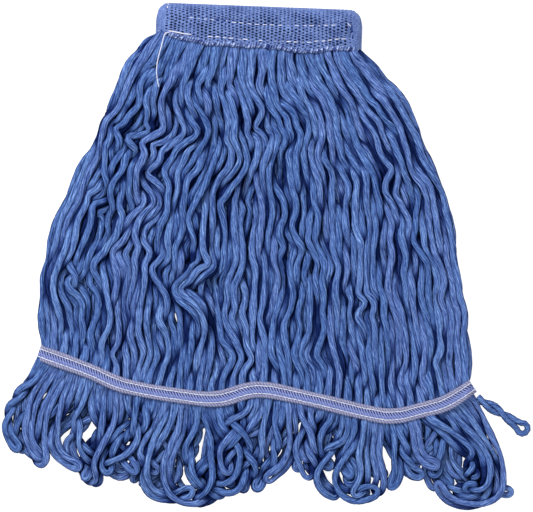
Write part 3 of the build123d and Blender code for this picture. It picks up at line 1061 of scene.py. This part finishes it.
def hem_material():
    """Overlocked edge: a dark roll, paler threads round it, and specks."""
    material, tree, shader = new_material("hem", 0.7, gloss=0.1)
    grain = object_noise(tree, 900.0, 3.0, 0.65)
    speck = object_noise(tree, 420.0, 2.0, 0.6)
    base = ramp(tree, read(tree, "own"), [(0.0, (0.03, 0.05, 0.20)), (1.0, (0.26, 0.36, 0.70))])
    fine = ramp(tree, grain, [(0.35, (0.4, 0.42, 0.55)), (0.65, (1.5, 1.45, 1.3))])
    specks = ramp(tree, speck, [(0.40, (0.28, 0.32, 0.48)), (0.50, (0.95, 0.95, 0.97)),
                                (0.62, (1.8, 1.65, 1.35))])
    paint(tree, shader, times(tree, base, fine, specks))
    bumped(tree, shader, grain, 0.0003, 0.7)
    return material


HEM = hem_material()
HEM_RADIUS = 1.9  # of the roll


def hem_path(side):
    x = np.linspace(BAND_LEFT + 1.2, BAND_RIGHT - 1.0, 200)
    y = hem_y(x) + 0.35 * Ripple(14, 14)(x, x * 0)
    z = BAND_MIDDLE + OUTWARD[side] * (BAND_MIDDLE - HEM_RADIUS) * band_taper(x)
    return np.stack([x, y, z], axis=1)


def wound(path, radius, pitch, phase):
    """A thread wound round a path."""
    tangent, side, up = transported_frames(path)
    travel = travel_along(path)
    fine = np.arange(0, travel[-1], pitch / 10)
    angle = (2 * np.pi * (fine / pitch + phase))[:, None]
    middle, side, up = (read_off(fine, travel, values) for values in (path, side, up))
    return middle + radius * (np.cos(angle) * side + np.sin(angle) * up)


for side, body in (("back", "back_half"), ("front", "front_band")):
    path = hem_path(side)
    s = np.arange(len(path)) * 0.83
    lumps = HEM_RADIUS * (1 + 0.10 * np.sin(s * 2 * np.pi / 3.1) + 0.14 * Ripple(1e6, 9, 6)(s * 0, s))
    core = plain_tube(path, lumps, 14)
    coils = [plain_tube(wound(path, 1.75, 4.3, phase), 0.85, 7) for phase in (0.0, 0.4)]
    made = tubes_object(f"rolled_hem_{side}", [core, *coils], (0.0, 1.0, 0.55), HEM)
    stand_for(made, "hem", [f"headband_hem_{side}"], body)


# ---- White stitches

def thread_material():
    material, tree, shader = new_material("thread", 0.55)
    grain = object_noise(tree, 700.0, 2.0, 0.5)
    paint(tree, shader, spread(tree, grain, (0.60, 0.63, 0.80), (0.88, 0.89, 0.97)))
    return material


THREAD = thread_material()


def stitch_row(line, stitch, gap, radius, height, wander=0.12, sink=0.9):
    """A row of stitches along a line: each a short tube that comes out of the cloth and goes back in. height
    gives the cloth's surface for x, y."""
    line = np.asarray(line, float)
    dense = read_off(np.linspace(0, len(line) - 1, 30 * len(line)), np.arange(len(line)), line)
    travel = travel_along(dense)
    tubes = []
    place = 0.4
    while place + stitch < travel[-1]:
        long = stitch * rng.uniform(0.85, 1.12)
        t = np.linspace(0, 1, 7)
        x, y = read_off(place + t * long, travel, dense).T
        shift = rng.normal(0, wander)
        z = height(x, y) + radius * (1.5 * np.sin(np.pi * t) ** 0.6 - 0.95 - sink * rng.random() ** 2)
        tubes.append(plain_tube(np.stack([x, y + shift, z], axis=1), radius * rng.uniform(0.9, 1.1), 8))
        place += long + gap * rng.uniform(0.7, 1.3)
    return tubes


def band_front_height(x, y):
    arc = np.interp(fold_y(x) - y, SECTION_BACK, SECTION_ARC)
    z = band_point(x, arc)[..., 2]
    return z - 0.9 * near_seam(np.stack([x, y], axis=-1))


def band_back_height(x, y):
    return BAND_TOP - band_front_height(x, y)


rows = stitch_row(BAND_SEAM[:6], 3.5, 2.6, 0.34, band_front_height, sink=3.4)
rows += stitch_row(BAND_SEAM[5:], 3.9, 2.1, 0.38, band_front_height, sink=2.4)
long_stitch = np.array([(-93.5, 184.6), (-89.5, 183.9), (-82.0, 182.6), (-74.0, 181.9)])
rows += stitch_row(long_stitch, 17.0, 1.0, 0.5, lambda x, y: band_front_height(x, y) + 0.5)
made = tubes_object("band_stitches_front", rows, rng.random(len(rows)), THREAD)
stand_for(made, "thread", ["headband_stitching_front"], "front_band")
rows = stitch_row(BAND_SEAM, 4.3, 1.7, 0.46, lambda x, y: band_back_height(x, y) + 0.5)
made = tubes_object("band_stitches_back", rows, rng.random(len(rows)), THREAD)
stand_for(made, "thread", ["headband_stitching_back"], "back_half")

rows = []
for arc in np.arange(-8.0, 15.0, 4.0):
    s = arc + np.linspace(0, 2.6, 7)
    lift = 0.1 + 0.45 * np.sin(np.linspace(0, np.pi, 7))
    x = -93.5 - 0.12 * s
    points = np.stack([band_point(np.array(a), np.array(b), -c) for a, b, c in zip(x, s, lift)])
    rows.append(plain_tube(points, 0.42, 8))
made = tubes_object("band_stitches_fold", rows, rng.random(len(rows)), THREAD)
stand_for(made, "thread", ["headband_stitching_fold"], "fold")


# ---- Tapes

NAVY = (0.008, 0.014, 0.12)
WEAVE_PITCH = 2.4
WEAVE_SLANT = 3.7  # ribs that a line straight across the tape would cut


def tape_material():
    """Woven tape: slanted ribs at both edges, navy dashes beside the middle, pale lilac between."""
    material, tree, shader = new_material("tape", 0.7, gloss=0.1)
    along, across = read(tree, "along"), read(tree, "across")
    grain = object_noise(tree, 900.0, 2.0, 0.6)
    zone = ramp(tree, across, [
        (0.0, (0.22, 0.23, 0.36)), (0.10, (0.31, 0.32, 0.48)), (0.20, (0.21, 0.22, 0.37)),
        (0.27, (0.18, 0.23, 0.50)), (0.50, (0.20, 0.25, 0.53)), (0.62, (0.24, 0.29, 0.56)),
        (0.73, (0.24, 0.26, 0.43)), (0.80, (0.21, 0.22, 0.37)), (0.90, (0.31, 0.32, 0.48)),
        (1.0, (0.22, 0.23, 0.36))])
    slant = maths(tree, "MULTIPLY", across, WEAVE_SLANT)
    slant = maths(tree, "ADD", maths(tree, "MULTIPLY", along, 1 / WEAVE_PITCH), slant)
    wave = maths(tree, "SINE", maths(tree, "MULTIPLY", slant, 2 * math.pi))
    ridge = maths(tree, "MULTIPLY_ADD", wave, 0.5, 0.5)
    groove = maths(tree, "MULTIPLY_ADD", wave, -0.5, 0.5)
    # painted highlight on the ribs' ridges and painted shade in their grooves
    rib = ramp(tree, ridge, [(0.0, (0.58, 0.58, 0.68)), (1.0, (1.28, 1.27, 1.22))])
    black, white = (0, 0, 0), (1, 1, 1)
    dash_zone = ramp(tree, across, [(0.50, black), (0.55, white), (0.69, white), (0.73, black)])
    dash_wave = ramp(tree, groove, [(0.40, black), (0.60, white)])
    colour = mixed(tree, "MIX", times(tree, dash_zone, dash_wave), times(tree, zone, rib), NAVY)
    fine = spread(tree, grain, (0.72, 0.72, 0.78), (1.25, 1.24, 1.2))
    paint(tree, shader, times(tree, colour, fine))
    bumped(tree, shader, grain, 0.0002, 0.6)
    return material


TAPE = tape_material()
TAPE_HEIGHTS = {("front", "outer"): TAPED_TOP - 0.9, ("front", "inner"): 8.75, ("back", "outer"): 0.15,
                ("back", "inner"): 7.1}
tape_waves = Ripple(60, 60)


def tape_lift(x, half, kind):
    """The tape's middle height at x. The outer ones are drawn in at both ends."""
    base = TAPE_HEIGHTS[half, kind] + 0.45 + 0 * x
    drop = 5.5 * (1 - smooth(np.minimum(x - TAPE_LEFT, TAPE_RIGHT - x), -2, 9)) ** 2
    if (half, kind) == ("front", "outer"):
        return base + 0.3 * tape_waves(x, x * 0) - drop
    return base + drop if kind == "outer" else base


def tape_outward(half, kind):
    """Which way along z a tape's outer side looks."""
    return OUTWARD[half] if kind == "outer" else -OUTWARD[half]


def tape_grid(name, half, kind, material):
    """One tape, with its ribs and dashes in relief: finest on the one that shows."""
    step, count = (0.42, 34) if (half, kind) == ("front", "outer") else (0.8, 18)
    line = tape_curve(1200)
    travel = travel_along(line)
    long = np.arange(0.8, travel[-1] - 1.2, step)
    middle = read_off(long, travel, line)
    tangent = directions(middle)
    kernel = np.ones(21) / 21
    for k in (0, 1):
        tangent[:, k] = np.convolve(np.pad(tangent[:, k], 10, mode="edge"), kernel, "valid")
    normal = np.stack([-tangent[:, 1], tangent[:, 0]], axis=1)
    across = np.linspace(0, 1, count)
    from_middle = np.abs(across - 0.5)
    scallop = 0.16 * np.sin(2 * np.pi * long / WEAVE_PITCH)
    width = TAPE_WIDTH + 0.5 * Ripple(1e6, 50, 6)(long * 0, long)
    offset = (across[None, :] - 0.5) * width[:, None] + scallop[:, None] * np.sign(across - 0.5)[None, :]
    x = middle[:, None, 0] + normal[:, None, 0] * offset
    y = middle[:, None, 1] + normal[:, None, 1] * offset
    wave = np.sin(2 * np.pi * (long[:, None] / WEAVE_PITCH + WEAVE_SLANT * across[None, :]))
    edges = smooth(from_middle, 0.24, 0.3)[None, :]
    dashes = (smooth(across, 0.5, 0.58) * (1 - smooth(across, 0.68, 0.74)))[None, :]
    relief = 0.16 * wave * edges + 0.22 * wave * dashes
    rows = np.exp(-((from_middle - 0.255) / 0.05) ** 2)[None, :]
    relief = relief - 0.25 * rows - 0.5 * smooth(from_middle, 0.42, 0.5)[None, :]
    outward = tape_outward(half, kind)
    top = tape_lift(x, half, kind) + outward * (0.28 + relief)
    under = tape_lift(x, half, kind) - outward * 0.3
    count_long, count_wide = x.shape
    verts = np.concatenate([np.stack([x, y, z], -1).reshape(-1, 3) for z in (top, under)])
    i, j = np.meshgrid(np.arange(count_long - 1), np.arange(count_wide - 1), indexing="ij")
    a = (i * count_wide + j).ravel()
    faces = np.stack([a, a + count_wide, a + count_wide + 1, a + 1], axis=1)
    shift = count_long * count_wide
    below = faces[:, ::-1] + shift
    rim = np.concatenate([np.arange(count_wide), np.arange(1, count_long) * count_wide + count_wide - 1,
                          (count_long - 1) * count_wide + np.arange(count_wide - 2, -1, -1),
                          np.arange(count_long - 2, 0, -1) * count_wide])
    following = np.roll(rim, -1)
    sides = np.stack([rim, following, following + shift, rim + shift], axis=1)
    values = {"along": np.tile(np.repeat(long, count_wide), 2), "across": np.tile(across, 2 * count_long)}
    return build_mesh(name, verts, np.concatenate([faces, below, sides]), (), values, material)


def tape_row(share):
    """One of the tape's two stitch lines, as x, y."""
    line = tape_curve(300)
    tangent = directions(line)
    return line + np.stack([-tangent[:, 1], tangent[:, 0]], axis=1) * (share - 0.5) * TAPE_WIDTH


for half, body in (("back", "back_half"), ("front", "front_panel")):
    for kind in ("outer", "inner"):
        made = tape_grid(f"woven_tape_{half}_{kind}", half, kind, TAPE)
        stand_for(made, "tape", [f"tail_tape_{half}_{kind}"], body)

        def tape_face(x, y):
            return tape_lift(x, half, kind) + tape_outward(half, kind) * 0.42

        rows = [stitch for share in (0.245, 0.755)
                for stitch in stitch_row(tape_row(share), 3.7, 0.5, 0.4, tape_face, wander=0.08)]
        made = tubes_object(f"tape_stitches_{half}_{kind}", rows, rng.random(len(rows)), THREAD)
        stand_for(made, "thread", [f"tape_stitching_{half}_{kind}"], body)


# ---- Loose thread

loose = smooth_curve("loose_end", thread_path(), 0.8, THREAD)
stand_for(loose, "thread", ["loose_thread"], "front_panel")


# ---- Stray loop

def stray_points():
    """The loop that has slipped out to the right: two legs twisted together, then an open round eye."""
    t = np.linspace(0, 1, 16)
    start, neck, eye = np.array((172.0, -108.5)), np.array((205.0, -127.6)), np.array((211.0, -131.5))
    middle = start + (neck - start) * t[:, None] + np.array((0.35, 0.9)) * np.sin(np.pi * t)[:, None]
    roll = np.pi * 2.0 * t + 0.5
    normal = np.array((0.5, 0.866))
    apart = 2.5 - 0.5 * smooth(t, 0.7, 1.0)
    height = 7.5 - 3.0 * smooth(t, 0, 0.5)

    def leg(sign):
        side = sign * apart * np.cos(roll)
        return np.stack([middle[:, 0] + normal[0] * side, middle[:, 1] + normal[1] * side,
                         height + sign * 2.0 * np.sin(roll)], axis=1)

    first, second = leg(1), leg(-1)[::-1]
    opening = math.atan2(neck[1] - eye[1], neck[0] - eye[0])
    turn = opening + 0.7 * np.sign(np.cos(roll[-1])) * -1 * np.linspace(1, (2 * np.pi - 0.7) / 0.7, 12)
    ring = np.stack([eye[0] + 4.6 * np.cos(turn), eye[1] + 4.6 * np.sin(turn), np.full(12, 4.0)], axis=1)
    return np.concatenate([first[:-1], ring, second[1:]])


stray = resampled(stray_points(), RING_STEP)
made = tubes_object("stray_strand", [tube(stray, 2.7, phase=0.3, pitch=34)], [0.4], YARN)
stand_for(made, "yarn", ["stray_loop"], "back_half")


# ---- Floor and light

# The floor glows faintly, so that it shows white and without a shadow, as in the photograph
floor_material, floor_tree, floor_shader = new_material("floor", 0.8)
fill(floor_tree, [floor_shader.inputs[key] for key in ("Base Color", "Emission Color", "Emission Strength")],
     (0.35, 0.35, 0.35), (1, 1, 1), 0.93)
bpy.ops.mesh.primitive_plane_add(size=8, location=(0, 0, -0.0002))
floor = bpy.context.object
floor.name = "floor"
floor.data.materials.append(floor_material)


def area_light(name, place, target, size, power):
    data = bpy.data.lights.new(name, "AREA")
    data.shape = "DISK"
    data.size = size
    data.energy = power
    light = link_object(name, data)
    light.location = place
    direction = np.array(target) - np.array(place)
    light.rotation_euler = mathutils.Vector(direction).to_track_quat("-Z", "Y").to_euler()


area_light("key", (-1.0, 1.2, 1.7), (0, 0, 0), 0.8, 48)
area_light("fill", (1.2, -0.9, 1.8), (0, 0, 0), 1.6, 17)
world = bpy.data.worlds.new("world")
world.use_nodes = True
background = world.node_tree.nodes["Background"]
fill(world.node_tree, [background.inputs[key] for key in ("Color", "Strength")], (1, 1, 1), 0.34)
bpy.context.scene.world = world
bpy.context.scene.view_settings.view_transform = "Standard"
